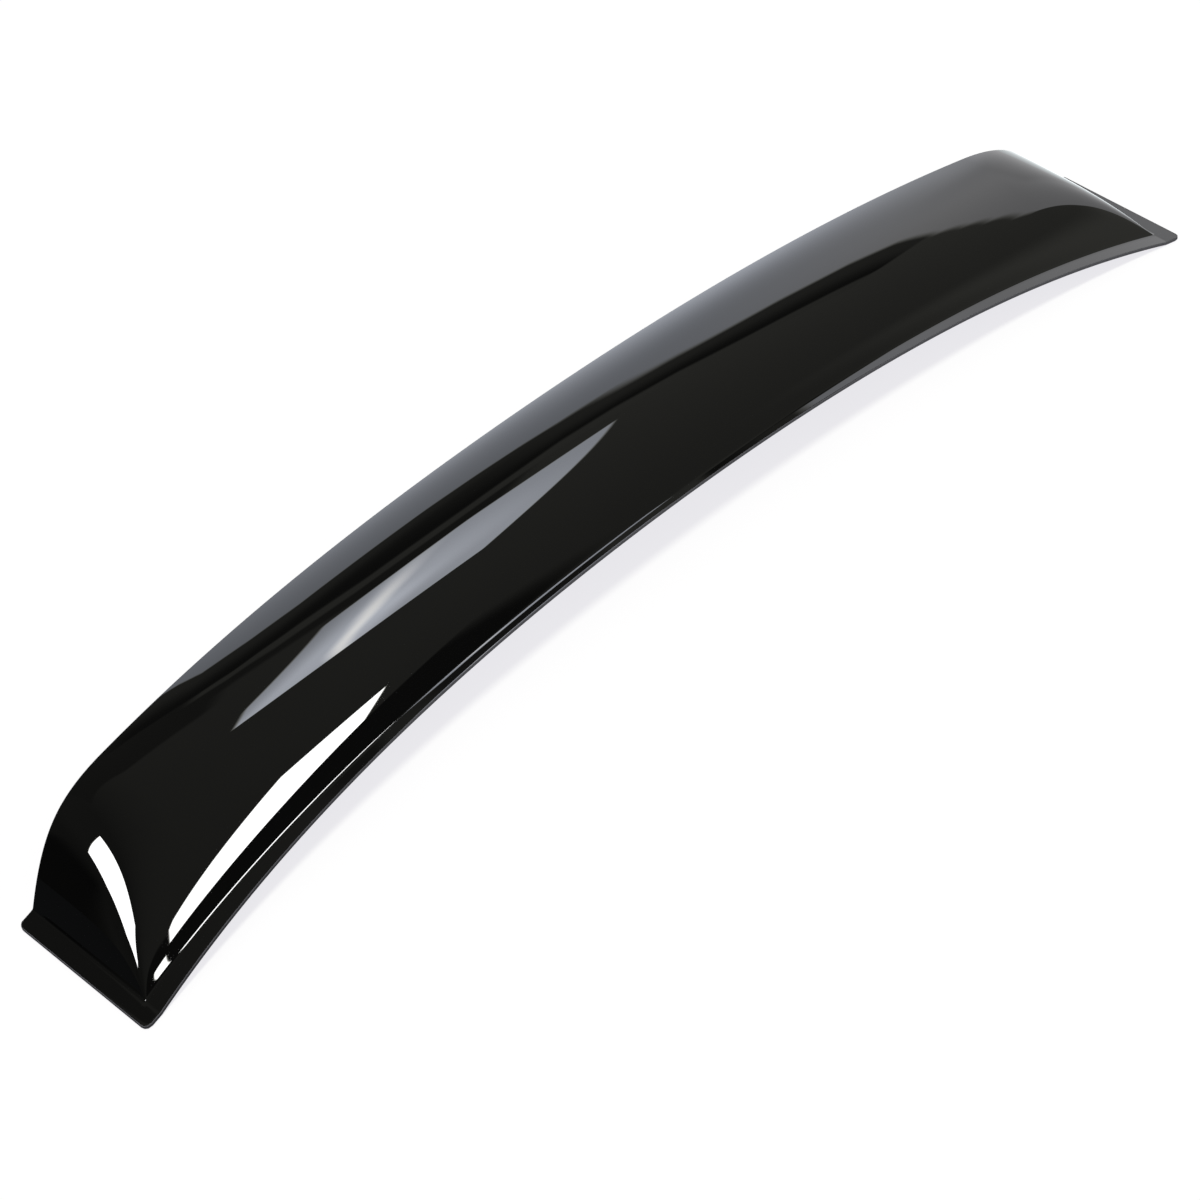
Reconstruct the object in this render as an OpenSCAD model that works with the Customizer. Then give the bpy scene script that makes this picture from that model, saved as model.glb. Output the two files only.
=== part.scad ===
// Roof spoiler of the rear-window visor kind: one sheet of acrylic, formed hot into
// a long hood with a flat bonding flange along its front edge and both ends.
// Millimetres. X runs along the hood, Y to the rear of the car, Z up.
// The origin lies on the ground plane at the middle of the part's box.

/* [Plan of the sheet] */
// Distance between the two front corners
front_w = 1150; // [900:1:1400]
// How far the middle of the front edge lies behind the front corners
front_bow = 63.5; // [20:0.5:110]
// Fullness of that bow towards the ends, 0 for a plain parabola
bow_fullness = 0.25; // [0:0.05:0.6]
// Depth of the sheet at its ends, from the front edge to the free rear edge
end_depth = 148; // [125:0.5:190]
// Further depth of the sheet at the middle
middle_bulge = 8; // [0:0.5:40]
// Angle at which each end flares outwards to the rear, in degrees
end_flare = 5.1; // [0:0.1:10]
// Radius of the sheet's four corners, seen from above
corner_r = 6; // [3:0.5:8]

/* [Bonding flange] */
// Width of the flange at the two ends
end_flange_w = 15; // [12:0.5:24]
// Width of the front flange at the ends
front_flange_end_w = 16.5; // [12:0.5:26]
// Width of the front flange at the middle
front_flange_mid_w = 7; // [6:0.5:20]
// Height of the middle of the front flange above the ends
crown = 43.5; // [10:0.5:60]
// Fullness of that crown towards the ends, 0 for a plain parabola
crown_fullness = 0.38; // [0:0.01:0.7]
// Fillet between the flange and the rising hood
foot_fillet = 0.25; // [0.25:0.25:6]

/* [Hood] */
// Height of the hood's crest above the ground at the middle
crest_mid_h = 81.5; // [66:0.5:110]
// Height of the hood's crest above the ground at the ends
crest_end_h = 63.5; // [50:0.5:100]
// Run from the front flange to the crest at the middle
crest_run = 101.5; // [60:0.5:110]
// Run from the front flange to the crest at the ends
crest_end_run = 144; // [100:0.5:170]
// Fullness of the front slope at the middle, 2 for a parabola
slope_fullness = 3; // [2:0.05:3.5]
// Fullness of the front slope at the ends
slope_end_fullness = 2; // [2:0.05:3.5]
// Run of the end slope from its flange to the full height
end_run = 97.5; // [60:0.5:160]
// Fullness of the end slope
end_fullness = 1.95; // [1.6:0.05:3]
// How far the hood falls from its crest to the free rear edge at the middle
rear_fall = 8; // [0:0.5:16]
// Fullness of that fall, higher where more of it comes near the edge
fall_fullness = 2.5; // [1.5:0.1:4]
// Sharpness of the corner between the front slope and the end slope
corner_sharpness = 4; // [1.5:0.1:5]

/* [Sheet] */
// Thickness of the sheet
sheet_t = 3; // [2:0.1:4]

/* [Hidden] */
half_w = front_w / 2;
flare_slope = tan(end_flare);
edge_r = sheet_t / 2;
normal_step = 2.5;
solve_steps = 5;

// Steps of the mesh over the flange, the hood and the rear margin
flange_rows = [0, 0.05, 0.15, 0.3, 0.6, 1];
hood_row_n = 20;
rear_rows = [0.65, 0.9, 1];
rear_margin = corner_r;
flange_cols = [0, 0.35, 0.7, 1];
hood_col_n = 27;
edge_n = 4;

// The rear edge's middle is the part's furthest point, the rounded front corners its nearest
corner_setback = 1;
centre_y = (corner_setback + front_bow + end_depth + middle_bulge) / 2;

function squared(v) = v * v;
function span(x) = squared(x / half_w);
function mix(a, b, t) = a + (b - a) * t;

// Plan curves, as functions of the place x along the hood
function front_y(x) = front_bow * (1 - span(x)) * (1 + bow_fullness * span(x));
function depth(x) = end_depth + middle_bulge * (1 - span(x));
function flange_w(x) = mix(front_flange_mid_w, front_flange_end_w, min(1, span(x)));
function end_line_x(y) = half_w + y * flare_slope;

// Height of the flange's face: a crown between two flat end flanges
function crown_span(x, y) = squared(min(1, abs(x) / (end_line_x(y) - end_flange_w)));
function crown_z(t) = crown * (1 - t) * (1 + crown_fullness * t);

// Distance into the hood with a fillet at its foot
function filleted(d) = d <= 0 ? 0 : d * d / (d + 2 * foot_fillet);
function front_rise(w, t) =
    1 - pow(abs(1 - min(1, w / mix(crest_run, crest_end_run, t))), mix(slope_fullness, slope_end_fullness, t));
function end_rise(u) = 1 - pow(1 - min(1, u / end_run), end_fullness);
// Mean of the two rises that follows the lower one
function joined(a, b) = a <= 0 || b <= 0 ? 0 :
    pow((pow(a, -corner_sharpness) + pow(b, -corner_sharpness)) / 2, -1 / corner_sharpness);

// Height of the sheet's outer face over the ground at a place of the plan
function outer_z(x, y) =
    let (t = crown_span(x, y),
         flange_z = crown_z(t),
         w = filleted(y - front_y(x) - flange_w(x)),
         u = filleted(end_line_x(y) - end_flange_w - abs(x)),
         crest_z = mix(crest_mid_h, crest_end_h, t),
         past = max(0, w - crest_run) / (end_depth + middle_bulge - front_flange_mid_w - crest_run),
         fall = rear_fall * (1 - t) * pow(past, fall_fullness))
    sheet_t + flange_z + (crest_z - sheet_t - flange_z - fall) * joined(front_rise(w, t), end_rise(u));

function outer_normal(x, y) =
    let (s = normal_step,
         dx = (outer_z(x + s, y) - outer_z(x - s, y)) / (2 * s),
         dy = (outer_z(x, y + s) - outer_z(x, y - s)) / (2 * s),
         n = [-dx, -dy, 1])
    n / norm(n);

// Rows run from the front edge to the rear edge, as shares of the depth there
function hood_spread(q) = 0.35 * q + 0.65 * q * q;
function row_share(x, j) =
    let (d = depth(x),
         f = flange_w(x),
         last = d - rear_margin,
         nf = len(flange_rows) - 1)
    j <= nf ? mix(edge_r, f, flange_rows[j]) / d
    : j <= nf + hood_row_n ? mix(f, last, hood_spread((j - nf) / hood_row_n)) / d
    : mix(last, d - edge_r, rear_rows[j - nf - hood_row_n - 1]) / d;
row_n = len(flange_rows) - 1 + hood_row_n + len(rear_rows);

// Where a row meets the line of the end, found by repeated substitution
function end_x(share_at, x, step) =
    step == 0 ? x
    : end_x(share_at, end_line_x(front_y(x) + row_share(x, share_at) * depth(x)), step - 1);
row_end = [for (j = [0 : row_n]) end_x(j, half_w, solve_steps)];

// How far a rounded corner cuts into the end, a distance d from the front or rear edge
function corner_cut(d) =
    let (r = corner_r - edge_r)
    d >= r ? 0 : r - sqrt(squared(r) - squared(r - max(0, d)));
row_cut = [for (j = [0 : row_n])
    let (x = row_end[j],
         d = row_share(x, j) * depth(x))
    edge_r + corner_cut(d - edge_r) + corner_cut(depth(x) - edge_r - d)];

// Columns run from the left end to the right end
function col_spread(q) = 0.11 * q + 0.89 * pow(q, 2.2);
function col_x(i, j) =
    let (nf = len(flange_cols) - 1,
         inner = row_end[j] - end_flange_w)
    i <= nf ? row_end[j] - mix(row_cut[j], end_flange_w, flange_cols[i])
    : inner * (1 - col_spread((i - nf) / hood_col_n));
half_col_n = len(flange_cols) - 1 + hood_col_n;
col_n = 2 * half_col_n;
function grid_x(i, j) = i <= half_col_n ? -col_x(i, j) : col_x(col_n - i, j);
function grid_xy(i, j) =
    let (x = grid_x(i, j))
    [x, front_y(x) + row_share(x, j) * depth(x)];

// Faces and edge of the sheet
outer = [for (j = [0 : row_n]) for (i = [0 : col_n])
    let (p = grid_xy(i, j))
    [p[0], p[1], outer_z(p[0], p[1])]];
normals = [for (p = outer) outer_normal(p[0], p[1])];
inner = [for (k = [0 : len(outer) - 1]) outer[k] - sheet_t * normals[k]];

wide = col_n + 1;
rim = concat(
    [for (i = [0 : col_n - 1]) i],
    [for (j = [0 : row_n - 1]) j * wide + col_n],
    [for (i = [col_n : -1 : 1]) row_n * wide + i],
    [for (j = [row_n : -1 : 1]) j * wide]);
rim_n = len(rim);
rim_out = [for (k = [0 : rim_n - 1])
    let (along = outer[rim[(k + 1) % rim_n]] - outer[rim[(k + rim_n - 1) % rim_n]],
         out = cross(along, normals[rim[k]]))
    out / norm(out)];
// Rounded edge, in rings from the outer face to the inner face
edge_rings = [for (e = [1 : edge_n - 1]) for (k = [0 : rim_n - 1])
    let (turn = 90 - 180 * e / edge_n,
         mid = outer[rim[k]] - edge_r * normals[rim[k]])
    mid + edge_r * (cos(turn) * rim_out[k] + sin(turn) * normals[rim[k]])];

first_inner = len(outer);
first_edge = 2 * len(outer);
function edge_index(e, k) =
    e == 0 ? rim[k % rim_n]
    : e == edge_n ? first_inner + rim[k % rim_n]
    : first_edge + (e - 1) * rim_n + k % rim_n;

module visor_shell() {
    cells = [for (j = [0 : row_n - 1]) for (i = [0 : col_n - 1]) j * wide + i];
    outer_faces = [for (c = cells) for (f = [[c, c + wide, c + 1], [c + 1, c + wide, c + wide + 1]]) f];
    inner_faces = [for (f = outer_faces) [for (v = [2, 1, 0]) first_inner + f[v]]];
    edge_faces = [for (e = [0 : edge_n - 1]) for (k = [0 : rim_n - 1])
        for (f = [[edge_index(e, k), edge_index(e, k + 1), edge_index(e + 1, k + 1)],
                  [edge_index(e, k), edge_index(e + 1, k + 1), edge_index(e + 1, k)]]) f];
    color([0.05, 0.05, 0.055])
        translate([0, -centre_y, 0])
            polyhedron(
                points = concat(outer, inner, edge_rings),
                faces = concat(outer_faces, inner_faces, edge_faces),
                convexity = 6);
}

visor_shell();
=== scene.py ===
"""Looks of the rear-window roof visor: one formed sheet of gloss smoked acrylic on a pale studio floor."""

import math
from typing import NamedTuple

import bpy
import numpy as np
from mathutils import Matrix, Vector


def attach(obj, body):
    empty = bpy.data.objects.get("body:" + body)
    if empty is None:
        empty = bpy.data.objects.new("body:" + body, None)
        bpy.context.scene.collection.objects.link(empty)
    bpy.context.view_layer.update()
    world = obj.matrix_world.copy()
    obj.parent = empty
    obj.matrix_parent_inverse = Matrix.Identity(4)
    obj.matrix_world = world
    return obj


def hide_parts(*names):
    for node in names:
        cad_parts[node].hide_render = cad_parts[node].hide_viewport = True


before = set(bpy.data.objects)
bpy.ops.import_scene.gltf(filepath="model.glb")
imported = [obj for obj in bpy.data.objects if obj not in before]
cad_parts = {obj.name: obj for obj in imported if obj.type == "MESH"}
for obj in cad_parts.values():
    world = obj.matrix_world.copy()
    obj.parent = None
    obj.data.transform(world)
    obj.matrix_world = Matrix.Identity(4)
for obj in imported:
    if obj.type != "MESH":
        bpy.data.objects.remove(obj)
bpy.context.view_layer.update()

# Plan of the sheet, in metres, as in the CAD model
FRONT_W = 1.150
FRONT_BOW = 0.0635
BOW_FULLNESS = 0.25
END_DEPTH = 0.148
MIDDLE_BULGE = 0.008
END_FLARE = math.radians(5.1)
CORNER_R = 0.006

# Bonding flange
END_FLANGE_W = 0.015
FRONT_FLANGE_END_W = 0.0165
FRONT_FLANGE_MID_W = 0.007
CROWN = 0.0435
CROWN_FULLNESS = 0.38
FOOT_FILLET = 0.00025

# Hood
CREST_MID_H = 0.0815
CREST_END_H = 0.0635
CREST_RUN = 0.1015
CREST_END_RUN = 0.144
SLOPE_FULLNESS = 3.0
SLOPE_END_FULLNESS = 2.0
END_RUN = 0.0975
END_FULLNESS = 1.95
REAR_FALL = 0.008
FALL_FULLNESS = 2.5
CORNER_SHARPNESS = 4.0
LEAST_RISE = 1e-9

# Sheet
SHEET_T = 0.003
EDGE_ROUND = 0.0006
REAR_TRIM = 0.0005
HALF_W = FRONT_W / 2
FLARE_SLOPE = math.tan(END_FLARE)
CORNER_SETBACK = 0.001
CENTRE_Y = (CORNER_SETBACK + FRONT_BOW + END_DEPTH + MIDDLE_BULGE) / 2

# Steps of the mesh
FLANGE_STEPS = 6
FOLD_ROWS = 18
FOLD_W = 0.003
HOOD_ROWS = 78
REAR_ROWS = 5
HOOD_COLS = 168
EDGE_STEPS = 5
FLANGE_GRADING = 1.5
FOLD_GRADING = 1.3
ROW_GRADING = 0.8
COL_GRADING = 0.95
NORMAL_STEP = 0.0002
SOLVE_STEPS = 6

# Camera, as the photograph was taken
IMAGE_PX = 1200
SENSOR_MM = 36.0
FOCAL_PX = 2121.1
CAMERA_AZIMUTH = math.radians(37.07)
CAMERA_ELEVATION = math.radians(44.26)
CAMERA_ROLL = math.radians(-8.86)
CAMERA_DISTANCE = 1.6771
AIM_RIGHT = -0.11107
AIM_UP = -0.01819

# Acrylic of the sheet, and its trimmed edge
ACRYLIC_IOR = 1.49
ACRYLIC_DEEP = (0.0006, 0.0006, 0.0007, 1)
ACRYLIC_CLOUD = (0.0014, 0.0014, 0.0015, 1)
CLOUD_SCALE = 9.0
CLOUD_DETAIL = 3.0
FACE_ROUGHNESS = (0.008, 0.015)
HAZE_SCALE = 160.0
HAZE_DETAIL = 5.0
# Edge colour: partly the trimmed edge's own pale tone, partly a painted sheen in place of its gloss
EDGE_TONE_AND_PAINTED_SHEEN = (0.1, 0.1, 0.108, 1)
EDGE_ROUGHNESS = (0.3, 0.42)
EDGE_MARK_SCALE = 420.0
EDGE_MARK_DETAIL = 4.0

# Overhead sun and floor
SUN_ENERGY = 2.0
SUN_ANGLE = math.radians(14)
SUN_TILT = math.radians(7)
SUN_H = 2.0
FLOOR_HALF = 6.0
FLOOR_DROP = 0.0004
FLOOR_ROUGHNESS = 0.9
FLOOR_LIT = (0.25, 0.255, 0.215, 1)
FLOOR_GLOW = (0.77, 0.762, 0.80, 1)
FLOOR_PALE = (0.9, 0.9, 0.9, 1)
# Painted shade: a dark floor colour that takes over between these x, towards the part's left end
PAINTED_SHADE_FLOOR_COLOUR = (0.02, 0.02, 0.02, 1)
PAINTED_SHADE_FLOOR_X = (-0.3, -0.45)
FLOOR_MIRRORED = (0.93, 0.98, 1.0, 1)
# Painted shade: the floor's level in the part's gloss beyond its left end, and the softness of that border
PAINTED_SHADE_MIRRORED_LEVEL = 0.05
PAINTED_SHADE_MIRRORED_SOFT = 0.03


class Patch(NamedTuple):
    """Part of the room's wall between two azimuths and below an elevation, with soft borders."""

    left: float
    right: float
    side_soft: float
    top: float
    top_soft: float
    level: float


# Room that the gloss reflects. Directions are (azimuth, elevation) in degrees, and white has level 1
LINE_END = 120.0
FILL_LEVEL = 0.35
WALL_LEVEL = 0.09
WALL_GAIN_RIGHT = 0.22
WALL_GAIN_UP = 0.1
WALL_LEAST = 0.11
WALL_PATCHES = [
    Patch(left=-95, right=-38, side_soft=3, top=33, top_soft=6, level=0.08),
    Patch(left=-57.5, right=-49, side_soft=1.5, top=24, top_soft=6, level=0.025),
    Patch(left=149.3, right=170, side_soft=1.5, top=42.4, top_soft=0.5, level=0.05),
    Patch(left=103, right=136, side_soft=6, top=35, top_soft=3, level=0.5),
    Patch(left=-10, right=36, side_soft=1, top=49.2, top_soft=0.6, level=0.1),
    Patch(left=-20, right=19, side_soft=1, top=52, top_soft=0.6, level=0.1),
]

# White backdrop behind the part, and the light rail and dark gap above it
BACKDROP_LEFT = 2
BACKDROP_RIGHT = 107.5
BACKDROP_TOP = [(0, 20), (13, 31), (15, 35.5), (18, 37.8), (21, 39), (28, 38.4), (36, 39.1), (42, 37.8),
                (48, 37.5), (53, 38), (58, 39.4), (63, 41.5), (68, 43.4), (77, 45.3), (87, 46.1), (95, 45.5),
                (100, 45), (104, 43.8), (107, 38), (112, 26), (120, 0)]
BACKDROP_SOFT = 0.4
BACKDROP_SIDE_SOFT = 0.3
BACKDROP_LEVEL = 1.85
BACKDROP_CHANGES = [
    Patch(left=33, right=55, side_soft=6, top=22, top_soft=12, level=0.6),
    Patch(left=54, right=72, side_soft=3, top=33, top_soft=4, level=-0.3),
]
RAIL = [(0, 38), (12, 40), (16, 43.8), (19, 45.8), (22, 46.2), (27, 45.4), (32, 43.6), (37, 41.4), (40, 40.8),
        (44, 41), (50, 42.5), (57, 44), (65, 45.5), (120, 45.5)]
RAIL_SPAN = (16, 66)
RAIL_H = 1.5
RAIL_SOFT = 0.35
RAIL_END_SOFT = 1
RAIL_LEVEL = 0.28
GAP_SPAN = (11, 66)
GAP_FADE = (0.2, 0.9)
GAP_LEVEL_LOW = 0.17
GAP_LEVEL_HIGH = 0.05

# Panel at the left, panel in front and a small lamp beside that, all far brighter than white
LEFT_PANEL = [(-51, 34), (-41, 51.4), (-126, 66), (-106, 52), (-93, 43), (-72, 32), (-59, 32)]
FRONT_PANEL = [(150.1, 48.4), (154.8, 52.4), (164.3, 44), (164.65, 43), (164.65, 40.2), (153.7, 42.5)]
LOW_LAMP = [(164.95, 37), (165.8, 37), (165.8, 38.9), (164.95, 39)]
PANELS_AND_SOFTNESS = [(LEFT_PANEL, 0.1), (FRONT_PANEL, 0.05), (LOW_LAMP, 0.04)]
PANEL_LEVEL = 32.0

# Window high behind the part: glass with a lamp standing in it, and the lamp's halo
WINDOW = [(26, 50.2), (25.8, 61), (29.2, 66), (41.5, 65.8), (58.3, 63.6), (42.3, 44.3), (34, 46.5)]
WINDOW_SOFT = 0.2
GLASS_LEVEL = 4.2
GLASS_GAIN_UP = 3.9
GLASS_GAIN_EL = (43, 60)
GLASS_RIGHT_SHARE = 0.74
GLASS_RIGHT_AZ = (34, 50)
GLASS_LEFT_SHARE = 0.6
GLASS_LEFT_AZ = (25, 32)
LAMP_AZ_OVER_EL = [(0, 31.5), (50, 31.5), (55, 32.7), (58, 34.2), (60, 35.2), (62, 36.6), (64, 39),
                   (66, 42.5), (120, 42.5)]
LAMP_HALF_W = 1.3
LAMP_EL = (45, 56)
LAMP_LEVEL = 5.5
HALO_OFFSET = 2.5
HALO_HALF_W = 3
HALO_EL = (54, 60)
HALO_LEVEL = 1.6

# Faint tints of the room
WARM = (1.03, 1.03, 0.92, 1)
COOL = (0.93, 0.98, 1.09, 1)
BARELY_COOL = (1.0, 1.0, 1.02, 1)
NEUTRAL = (1, 1, 1, 1)
COOL_FADE_AZ = (35, 62)


def span(x):
    return (x / HALF_W) ** 2


def mix(a, b, t):
    return a + (b - a) * t


def front_y(x):
    return FRONT_BOW * (1 - span(x)) * (1 + BOW_FULLNESS * span(x))


def depth(x):
    return END_DEPTH + MIDDLE_BULGE * (1 - span(x))


def flange_w(x):
    return mix(FRONT_FLANGE_MID_W, FRONT_FLANGE_END_W, np.minimum(1, span(x)))


def end_line_x(y):
    return HALF_W + y * FLARE_SLOPE


def filleted(d):
    """Distance into the hood with a fillet at its foot."""
    d = np.maximum(d, 0)
    return d * d / (d + 2 * FOOT_FILLET)


def joined(a, b):
    """Mean of the front rise and the end rise that follows the lower one."""
    a = np.maximum(a, LEAST_RISE)
    b = np.maximum(b, LEAST_RISE)
    return ((a ** -CORNER_SHARPNESS + b ** -CORNER_SHARPNESS) / 2) ** (-1 / CORNER_SHARPNESS)


def outer_z(x, y):
    """Height of the sheet's outer face over the ground at a place of the plan."""
    t = np.minimum(1, np.abs(x) / (end_line_x(y) - END_FLANGE_W)) ** 2
    flange_z = CROWN * (1 - t) * (1 + CROWN_FULLNESS * t)
    w = filleted(y - front_y(x) - flange_w(x))
    u = filleted(end_line_x(y) - END_FLANGE_W - np.abs(x))
    run = mix(CREST_RUN, CREST_END_RUN, t)
    front_rise = 1 - np.abs(1 - np.minimum(1, w / run)) ** mix(SLOPE_FULLNESS, SLOPE_END_FULLNESS, t)
    end_rise = 1 - (1 - np.minimum(1, u / END_RUN)) ** END_FULLNESS
    crest_z = mix(CREST_MID_H, CREST_END_H, t)
    past = np.maximum(0, w - CREST_RUN) / (END_DEPTH + MIDDLE_BULGE - FRONT_FLANGE_MID_W - CREST_RUN)
    fall = REAR_FALL * (1 - t) * past ** FALL_FULLNESS
    return SHEET_T + flange_z + (crest_z - SHEET_T - flange_z - fall) * joined(front_rise, end_rise)


def outer_normal(x, y):
    s = NORMAL_STEP
    dx = (outer_z(x + s, y) - outer_z(x - s, y)) / (2 * s)
    dy = (outer_z(x, y + s) - outer_z(x, y - s)) / (2 * s)
    n = np.stack([-dx, -dy, np.ones_like(dx)], axis=-1)
    return n / np.linalg.norm(n, axis=-1, keepdims=True)


def graded(q, share):
    """Steps from 0 to 1 that widen, the more so the higher the share."""
    return (1 - share) * q + share * q ** 2


def row_distance(x):
    """Distances of the mesh rows from the front edge, for each x given."""
    f = flange_w(x)[..., None]
    last = (depth(x) - CORNER_R)[..., None]
    end = (depth(x) - REAR_TRIM - EDGE_ROUND)[..., None]
    a = np.linspace(0, 1, FLANGE_STEPS + 1)
    b = np.linspace(0, 1, FOLD_ROWS + 1)[1:]
    q = np.linspace(0, 1, HOOD_ROWS + 1)[1:]
    c = np.linspace(0, 1, REAR_ROWS + 1)[1:]
    flange = EDGE_ROUND + (f - EDGE_ROUND) * a ** FLANGE_GRADING
    fold = f + FOLD_W * b ** FOLD_GRADING
    hood = f + FOLD_W + (last - f - FOLD_W) * graded(q, ROW_GRADING)
    rear = last + (end - last) * np.sin(c * math.pi / 2)
    return np.concatenate([flange, fold, hood, rear], axis=-1)


def corner_cut(d):
    """How far a rounded corner cuts into the end, a distance d from the front or rear edge."""
    r = CORNER_R - EDGE_ROUND
    return r - np.sqrt(r * r - (r - np.clip(d, 0, r)) ** 2)


def face_grid():
    """Plan of the mesh points, with columns from left to right and rows from front to rear."""
    rows = FLANGE_STEPS + FOLD_ROWS + HOOD_ROWS + REAR_ROWS + 1
    x_end = np.full(rows, HALF_W)
    pick = np.arange(rows)
    for _ in range(SOLVE_STEPS):
        d = row_distance(x_end)[pick, pick]
        x_end = end_line_x(front_y(x_end) + d)
    d = row_distance(x_end)[pick, pick]
    cut = EDGE_ROUND + corner_cut(d - EDGE_ROUND) + corner_cut(depth(x_end) - EDGE_ROUND - d)
    a = np.linspace(0, 1, FLANGE_STEPS + 1)[:, None]
    q = np.linspace(0, 1, HOOD_COLS + 1)[1:, None]
    flange = x_end - cut - (END_FLANGE_W - cut) * a
    hood = (x_end - END_FLANGE_W) * (1 - graded(q, COL_GRADING))
    half = np.concatenate([flange, hood], axis=0)
    x = np.concatenate([-half, half[-2::-1]], axis=0)
    d = row_distance(x)[:, pick, pick]
    return x, front_y(x) + d


def sheet_surface():
    x, y = face_grid()
    outer = np.stack([x, y, outer_z(x, y)], axis=-1)
    normals = outer_normal(x, y)
    return outer, normals


def shell_mesh():
    """Points and faces of the closed sheet: outer face, inner face and trimmed edge."""
    outer, normals = sheet_surface()
    cols, rows = outer.shape[:2]
    index = np.arange(cols * rows).reshape(cols, rows)
    flat_outer = outer.reshape(-1, 3)
    flat_normals = normals.reshape(-1, 3)
    inner = flat_outer - SHEET_T * flat_normals
    rim = np.concatenate([index[:-1, 0], index[-1, :-1], index[:0:-1, -1], index[0, :0:-1]])
    along = np.roll(flat_outer[rim], -1, axis=0) - np.roll(flat_outer[rim], 1, axis=0)
    out = np.cross(along, flat_normals[rim])
    out /= np.linalg.norm(out, axis=1, keepdims=True)
    turns = [math.pi / 2 * e / EDGE_STEPS for e in range(1, EDGE_STEPS + 1)]
    up = flat_normals[rim]
    rings = []
    for t in turns:
        rings.append(flat_outer[rim] + EDGE_ROUND * (math.sin(t) * out + (math.cos(t) - 1) * up))
    for t in reversed(turns):
        rings.append(inner[rim] + EDGE_ROUND * (math.sin(t) * out + (1 - math.cos(t)) * up))
    points = np.concatenate([flat_outer, inner] + rings)
    points[:, 1] -= CENTRE_Y

    a = index[:-1, :-1].ravel()
    b = index[1:, :-1].ravel()
    c = index[1:, 1:].ravel()
    d = index[:-1, 1:].ravel()
    n = len(flat_outer)
    faces = [np.stack([a, b, c, d], axis=1), np.stack([d, c, b, a], axis=1) + n]
    ring_index = [rim] + [2 * n + k * len(rim) + np.arange(len(rim)) for k in range(len(rings))] + [rim + n]
    for upper, lower in zip(ring_index[:-1], ring_index[1:]):
        faces.append(np.stack([upper, lower, np.roll(lower, -1), np.roll(upper, -1)], axis=1))
    edge_from = len(faces[0]) + len(faces[1])
    return points, np.concatenate(faces), edge_from


def new_material(name):
    material = bpy.data.materials.new(name)
    material.use_nodes = True
    tree = material.node_tree
    shader = tree.nodes["Principled BSDF"]
    return material, tree, shader


def noise(tree, scale, detail):
    """Noise from 0 to 1 that keeps its place on the object."""
    place = tree.nodes.new("ShaderNodeTexCoord")
    texture = tree.nodes.new("ShaderNodeTexNoise")
    texture.inputs["Scale"].default_value = scale
    texture.inputs["Detail"].default_value = detail
    tree.links.new(place.outputs["Object"], texture.inputs["Vector"])
    return texture.outputs["Fac"]


def spread_roughness(tree, shader, grain, limits):
    """Roughness that varies with a noise between two limits."""
    spread = tree.nodes.new("ShaderNodeMapRange")
    spread.inputs["To Min"].default_value, spread.inputs["To Max"].default_value = limits
    tree.links.new(grain, spread.inputs["Value"])
    tree.links.new(spread.outputs["Result"], shader.inputs["Roughness"])


def smoked_acrylic():
    """Polished near-black acrylic with the faint cloud and haze of a hot-formed sheet."""
    material, tree, shader = new_material("smoked_acrylic")
    shader.inputs["IOR"].default_value = ACRYLIC_IOR
    cloud = Graph(tree).tint(noise(tree, CLOUD_SCALE, CLOUD_DETAIL), ACRYLIC_DEEP, ACRYLIC_CLOUD)
    tree.links.new(cloud, shader.inputs["Base Color"])
    spread_roughness(tree, shader, noise(tree, HAZE_SCALE, HAZE_DETAIL), FACE_ROUGHNESS)
    return material


def trimmed_edge():
    """The trimmed edge of the sheet, duller and paler than its polished faces; the pale colour is partly the
    edge's own tone and partly a painted sheen in place of its gloss, which is turned off.
    """
    material, tree, shader = new_material("smoked_acrylic_edge")
    shader.inputs["IOR"].default_value = ACRYLIC_IOR
    shader.inputs["Base Color"].default_value = EDGE_TONE_AND_PAINTED_SHEEN
    shader.inputs["Specular IOR Level"].default_value = 0.0
    spread_roughness(tree, shader, noise(tree, EDGE_MARK_SCALE, EDGE_MARK_DETAIL), EDGE_ROUGHNESS)
    return material


def build_shell():
    points, faces, edge_from = shell_mesh()
    mesh = bpy.data.meshes.new("visor_shell_skin")
    mesh.from_pydata(points.tolist(), [], faces.tolist())
    mesh.materials.append(smoked_acrylic())
    mesh.materials.append(trimmed_edge())
    slots = np.zeros(len(faces), dtype=np.int32)
    slots[edge_from:] = 1
    mesh.polygons.foreach_set("material_index", slots)
    mesh.polygons.foreach_set("use_smooth", np.ones(len(faces), dtype=bool))
    mesh.update()
    shell = bpy.data.objects.new("visor_shell_skin", mesh)
    bpy.context.collection.objects.link(shell)
    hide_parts("visor_shell")
    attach(shell, "root")


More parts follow.
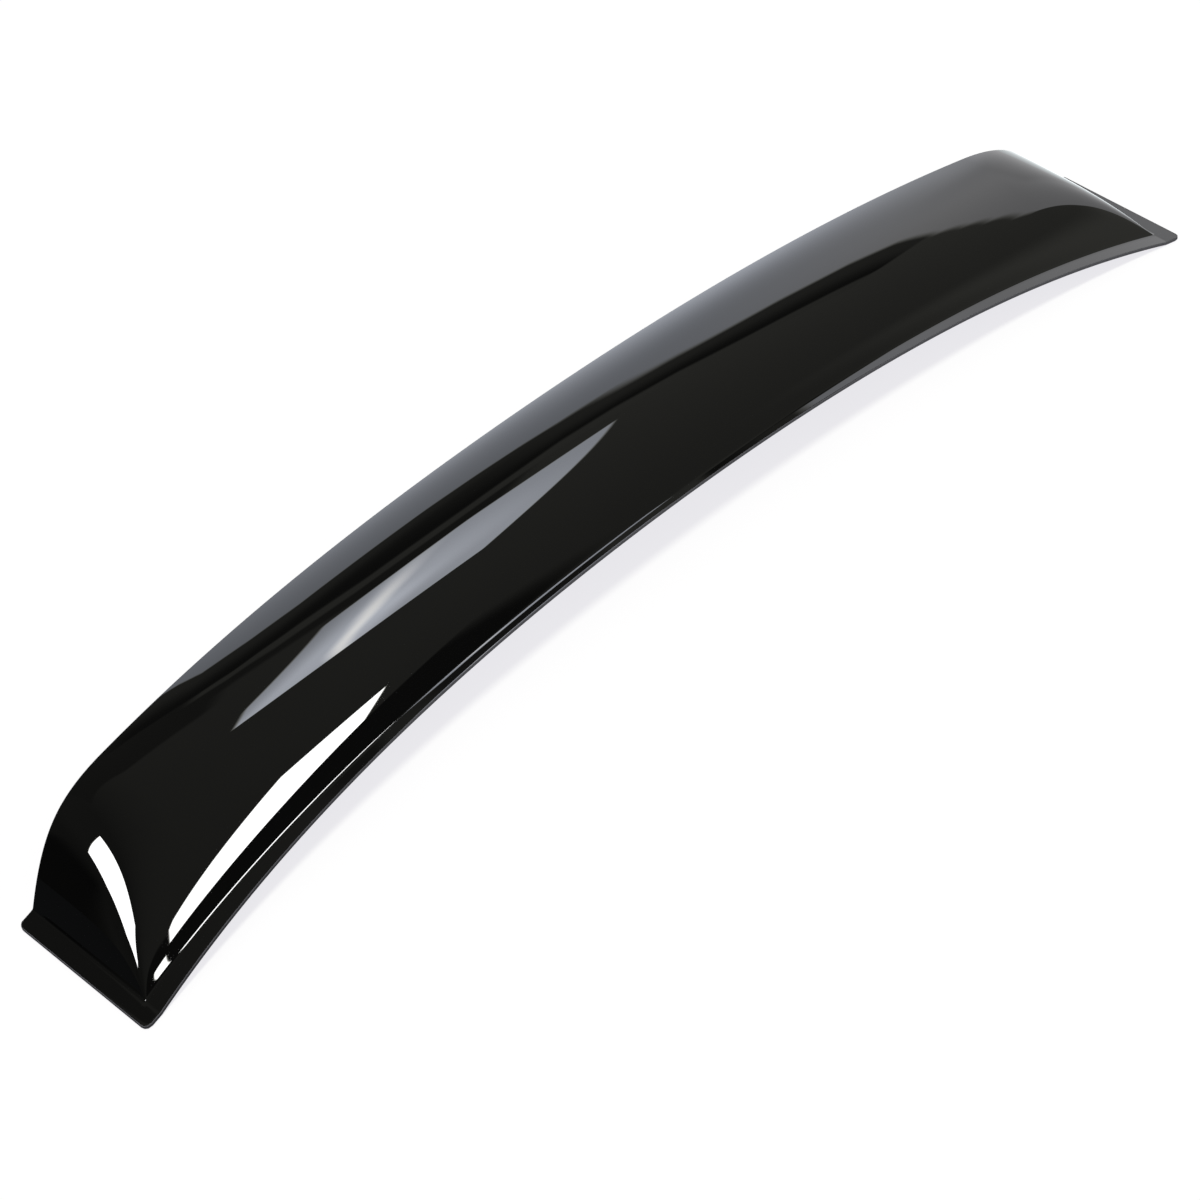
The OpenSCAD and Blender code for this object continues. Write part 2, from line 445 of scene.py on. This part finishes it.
class Graph:
    """Short calls for the maths nodes of one node tree."""

    def __init__(self, tree):
        self.tree = tree

    def put(self, value, socket):
        if isinstance(value, bpy.types.NodeSocket):
            self.tree.links.new(value, socket)
        else:
            socket.default_value = value

    def math(self, operation, a, b=0.0):
        node = self.tree.nodes.new("ShaderNodeMath")
        node.operation = operation
        self.put(a, node.inputs[0])
        self.put(b, node.inputs[1])
        return node.outputs[0]

    def add(self, a, b):
        return self.math("ADD", a, b)

    def times(self, *parts):
        result = parts[0]
        for part in parts[1:]:
            result = self.math("MULTIPLY", result, part)
        return result

    def step(self, value, low, high):
        """0 below low and 1 above high, with a smooth rise between them."""
        node = self.tree.nodes.new("ShaderNodeMapRange")
        node.interpolation_type = "SMOOTHSTEP"
        self.put(value, node.inputs["Value"])
        self.put(low, node.inputs["From Min"])
        self.put(high, node.inputs["From Max"])
        return node.outputs["Result"]

    def above(self, value, edge, soft):
        return self.step(self.math("SUBTRACT", value, edge), -soft, soft)

    def below(self, value, edge, soft):
        return self.step(self.math("SUBTRACT", edge, value), -soft, soft)

    def between(self, value, low, high, soft):
        return self.times(self.above(value, low, soft), self.below(value, high, soft))

    def blend(self, share, low, high):
        """low where share is 0, high where share is 1."""
        node = self.tree.nodes.new("ShaderNodeMix")
        node.data_type = "FLOAT"
        self.put(share, node.inputs[0])
        self.put(low, node.inputs[2])
        self.put(high, node.inputs[3])
        return node.outputs[0]

    def tint(self, share, low, high):
        """The colour low where share is 0, high where share is 1."""
        node = self.tree.nodes.new("ShaderNodeMix")
        node.data_type = "RGBA"
        self.put(share, node.inputs["Factor"])
        self.put(low, node.inputs[6])
        self.put(high, node.inputs[7])
        return node.outputs[2]

    def line(self, value, points):
        """Straight lines through (angle, angle) points, for angles from 0 to LINE_END degrees."""
        node = self.tree.nodes.new("ShaderNodeFloatCurve")
        curve = node.mapping.curves[0]
        for k, (a, b) in enumerate(points):
            at = (a / LINE_END, b / LINE_END)
            spot = curve.points[k] if k < len(curve.points) else curve.points.new(*at)
            spot.location = at
            spot.handle_type = "VECTOR"
        node.mapping.update()
        self.put(self.math("DIVIDE", value, LINE_END), node.inputs["Value"])
        return self.math("MULTIPLY", node.outputs[0], LINE_END)

    def panel(self, direction, corners, soft):
        """1 inside a flat panel whose corners lie in the given directions of the room."""
        corners = [heading(*corner) for corner in corners]
        middle = sum(corners, Vector((0, 0, 0)))
        result = 1.0
        for a, b in zip(corners, corners[1:] + corners[:1]):
            side = a.cross(b).normalized()
            side = side if side.dot(middle) > 0 else -side
            node = self.tree.nodes.new("ShaderNodeVectorMath")
            node.operation = "DOT_PRODUCT"
            self.put(direction, node.inputs[0])
            node.inputs[1].default_value = side
            inside = self.step(node.outputs["Value"], -math.radians(soft), math.radians(soft))
            result = self.times(result, inside)
        return result


def heading(azimuth, elevation):
    """Direction in the room: azimuth from the rear (+Y) towards the right (+X), elevation from the ground."""
    azimuth = math.radians(azimuth)
    elevation = math.radians(elevation)
    return Vector((math.sin(azimuth) * math.cos(elevation), math.cos(azimuth) * math.cos(elevation),
                   math.sin(elevation)))


class Room(NamedTuple):
    """Sockets for the direction of a ray in the room, and its parts and angles."""

    direction: bpy.types.NodeSocket
    x: bpy.types.NodeSocket
    z: bpy.types.NodeSocket
    az: bpy.types.NodeSocket
    el: bpy.types.NodeSocket


def room_of(g):
    place = g.tree.nodes.new("ShaderNodeTexCoord")
    direction = place.outputs["Generated"]
    parts = g.tree.nodes.new("ShaderNodeSeparateXYZ")
    g.tree.links.new(direction, parts.inputs[0])
    x, y, z = parts.outputs
    az = g.times(g.math("ARCTAN2", x, y), math.degrees(1))
    el = g.times(g.math("ARCSINE", z), math.degrees(1))
    return Room(direction, x, z, az, el)


def inside_patch(g, room, patch):
    sides = g.between(room.az, patch.left, patch.right, patch.side_soft)
    return g.times(sides, g.below(room.el, patch.top, patch.top_soft))


def walls(g, room):
    """Ceiling and walls, brighter upwards and to the right, with darker and lighter patches low down."""
    rise = g.add(g.times(room.z, WALL_GAIN_UP), WALL_LEVEL)
    level = g.math("MAXIMUM", g.add(g.times(room.x, WALL_GAIN_RIGHT), rise), WALL_LEAST)
    for patch in WALL_PATCHES:
        level = g.blend(inside_patch(g, room, patch), level, patch.level)
    return level


def add_backdrop(g, room, level):
    """The backdrop, the gap above it that darkens upwards, and the rail above that."""
    top = g.line(room.az, BACKDROP_TOP)
    rail = g.line(room.az, RAIL)
    on_rail = g.between(room.el, rail, g.add(rail, RAIL_H), RAIL_SOFT)
    on_rail = g.times(g.between(room.az, *RAIL_SPAN, RAIL_END_SOFT), on_rail)
    level = g.blend(on_rail, level, RAIL_LEVEL)
    height = g.math("DIVIDE", g.math("SUBTRACT", room.el, top), g.math("SUBTRACT", rail, top))
    gap_level = g.blend(g.step(height, *GAP_FADE), GAP_LEVEL_LOW, GAP_LEVEL_HIGH)
    gap = g.times(g.between(room.az, *GAP_SPAN, RAIL_END_SOFT), g.below(room.el, rail, RAIL_SOFT))
    level = g.blend(gap, level, gap_level)
    white = BACKDROP_LEVEL
    for patch in BACKDROP_CHANGES:
        white = g.add(white, g.times(inside_patch(g, room, patch), patch.level))
    sides = g.between(room.az, BACKDROP_LEFT, BACKDROP_RIGHT, BACKDROP_SIDE_SOFT)
    backdrop = g.times(sides, g.below(room.el, top, BACKDROP_SOFT))
    return g.blend(backdrop, level, white), backdrop


def add_panels(g, room, level):
    on_panels = 0.0
    for corners, soft in PANELS_AND_SOFTNESS:
        on_panel = g.panel(room.direction, corners, soft)
        level = g.blend(on_panel, level, PANEL_LEVEL)
        on_panels = g.add(on_panels, on_panel)
    return level, on_panels


def upright_streak(g, room, middle, half_w, rise):
    """A soft streak about an azimuth, which fades in as it goes up."""
    off = g.math("ABSOLUTE", g.math("SUBTRACT", room.az, middle))
    return g.times(g.below(off, half_w, half_w), g.step(room.el, *rise))


def add_window(g, room, level):
    window = g.panel(room.direction, WINDOW, WINDOW_SOFT)
    lamp_az = g.line(room.el, LAMP_AZ_OVER_EL)
    lamp = upright_streak(g, room, lamp_az, LAMP_HALF_W, LAMP_EL)
    halo = upright_streak(g, room, g.add(lamp_az, HALO_OFFSET), HALO_HALF_W, HALO_EL)
    glass = g.add(g.times(g.step(room.el, *GLASS_GAIN_EL), GLASS_GAIN_UP), GLASS_LEVEL)
    right = g.blend(g.step(room.az, *GLASS_RIGHT_AZ), 1.0, GLASS_RIGHT_SHARE)
    left = g.blend(g.step(room.az, *GLASS_LEFT_AZ), GLASS_LEFT_SHARE, 1.0)
    lights = g.add(g.times(lamp, LAMP_LEVEL), g.times(halo, HALO_LEVEL))
    window_level = g.add(g.times(glass, right, left), lights)
    return g.blend(window, level, window_level), window, lamp


def studio_world():
    """White to the camera and a plain fill light; to the gloss of the part, a dim room with a
    white backdrop, a window, a panel at the left, and a panel and a small lamp in front."""
    world = bpy.data.worlds.new("studio")
    bpy.context.scene.world = world
    world.use_nodes = True
    tree = world.node_tree
    tree.nodes.clear()
    g = Graph(tree)
    room = room_of(g)
    level = walls(g, room)
    level, backdrop = add_backdrop(g, room, level)
    level, panels = add_panels(g, room, level)
    level, window, lamp = add_window(g, room, level)

    cool = g.tint(g.step(room.az, *COOL_FADE_AZ), COOL, BARELY_COOL)
    colour = g.tint(backdrop, WARM, cool)
    colour = g.tint(window, colour, COOL)
    colour = g.tint(g.add(g.times(window, lamp), panels), colour, NEUTRAL)

    rays = tree.nodes.new("ShaderNodeLightPath")
    mirrored = rays.outputs["Is Glossy Ray"]
    plain = g.blend(rays.outputs["Is Camera Ray"], FILL_LEVEL, 1.0)
    background = tree.nodes.new("ShaderNodeBackground")
    tree.links.new(g.tint(mirrored, NEUTRAL, colour), background.inputs["Color"])
    tree.links.new(g.blend(mirrored, plain, level), background.inputs["Strength"])
    output = tree.nodes.new("ShaderNodeOutputWorld")
    tree.links.new(background.outputs[0], output.inputs["Surface"])


def build_sun():
    """Soft light from almost straight above, for the shadow on the floor."""
    light = bpy.data.lights.new("overhead", "SUN")
    light.energy = SUN_ENERGY
    light.angle = SUN_ANGLE
    sun = bpy.data.objects.new("overhead", light)
    sun.location = (0, 0, SUN_H)
    sun.rotation_euler.x = SUN_TILT
    sun.visible_glossy = False
    bpy.context.collection.objects.link(sun)


def mix_shaders(tree, share, low, high):
    """The shader low where share is 0, high where it is 1."""
    node = tree.nodes.new("ShaderNodeMixShader")
    tree.links.new(share, node.inputs["Fac"])
    tree.links.new(low, node.inputs[1])
    tree.links.new(high, node.inputs[2])
    return node.outputs[0]


def emission(tree, colour):
    node = tree.nodes.new("ShaderNodeEmission")
    node.inputs["Color"].default_value = colour
    return node


def floor_paper():
    """White paper, pale and faintly violet in the part's shadow. In the part's gloss it is as white as
    the backdrop, but painted dark as shade beyond the left end, and around that end its colour is painted
    dark as shade, so that it throws little light upwards."""
    material, tree, shader = new_material("floor")
    shader.inputs["Roughness"].default_value = FLOOR_ROUGHNESS
    shader.inputs["Specular IOR Level"].default_value = 0.0
    g = Graph(tree)
    place = tree.nodes.new("ShaderNodeTexCoord")
    parts = tree.nodes.new("ShaderNodeSeparateXYZ")
    tree.links.new(place.outputs["Object"], parts.inputs[0])
    x = parts.outputs[0]
    # Painted shade: the floor's colour turns dark near the part's left end, so little light comes up onto
    # that end
    tree.links.new(g.tint(g.step(x, *PAINTED_SHADE_FLOOR_X), FLOOR_PALE, PAINTED_SHADE_FLOOR_COLOUR), shader.inputs["Base Color"])

    lit = tree.nodes.new("ShaderNodeBsdfDiffuse")
    lit.inputs["Color"].default_value = FLOOR_LIT
    seen = tree.nodes.new("ShaderNodeAddShader")
    tree.links.new(lit.outputs[0], seen.inputs[0])
    tree.links.new(emission(tree, FLOOR_GLOW).outputs[0], seen.inputs[1])

    mirrored = emission(tree, FLOOR_MIRRORED)
    # Painted shade: in the part's gloss the floor is dark beyond the part's left end
    painted_shade_beyond_end = g.below(x, -HALF_W, PAINTED_SHADE_MIRRORED_SOFT)
    strength = g.blend(painted_shade_beyond_end, BACKDROP_LEVEL, PAINTED_SHADE_MIRRORED_LEVEL)
    tree.links.new(strength, mirrored.inputs["Strength"])

    rays = tree.nodes.new("ShaderNodeLightPath")
    surface = mix_shaders(tree, rays.outputs["Is Camera Ray"], shader.outputs[0], seen.outputs[0])
    surface = mix_shaders(tree, rays.outputs["Is Glossy Ray"], surface, mirrored.outputs[0])
    tree.links.new(surface, tree.nodes["Material Output"].inputs["Surface"])
    return material


def build_floor():
    mesh = bpy.data.meshes.new("floor")
    corners = [(-1, -1), (1, -1), (1, 1), (-1, 1)]
    mesh.from_pydata([(x * FLOOR_HALF, y * FLOOR_HALF, 0) for x, y in corners], [], [(0, 1, 2, 3)])
    mesh.materials.append(floor_paper())
    floor = bpy.data.objects.new("floor", mesh)
    floor.location.z = -FLOOR_DROP
    bpy.context.collection.objects.link(floor)


def build_camera():
    az, el, roll = CAMERA_AZIMUTH, CAMERA_ELEVATION, CAMERA_ROLL
    back = Vector((-math.sin(az) * math.cos(el), -math.cos(az) * math.cos(el), math.sin(el)))
    level_right = Vector((math.cos(az), -math.sin(az), 0))
    level_up = back.cross(level_right)
    right = math.cos(roll) * level_right + math.sin(roll) * level_up
    up = -math.sin(roll) * level_right + math.cos(roll) * level_up
    place = back * CAMERA_DISTANCE + right * AIM_RIGHT + up * AIM_UP - Vector((0, CENTRE_Y, 0))
    turn = Matrix((right, up, back)).transposed().to_4x4()
    data = bpy.data.cameras.new("camera")
    data.sensor_width = SENSOR_MM
    data.lens = FOCAL_PX / IMAGE_PX * SENSOR_MM
    camera = bpy.data.objects.new("camera", data)
    camera.matrix_world = Matrix.Translation(place) @ turn
    bpy.context.collection.objects.link(camera)
    bpy.context.scene.camera = camera


build_shell()
studio_world()
build_sun()
build_floor()
build_camera()
bpy.context.scene.view_settings.view_transform = "Standard"
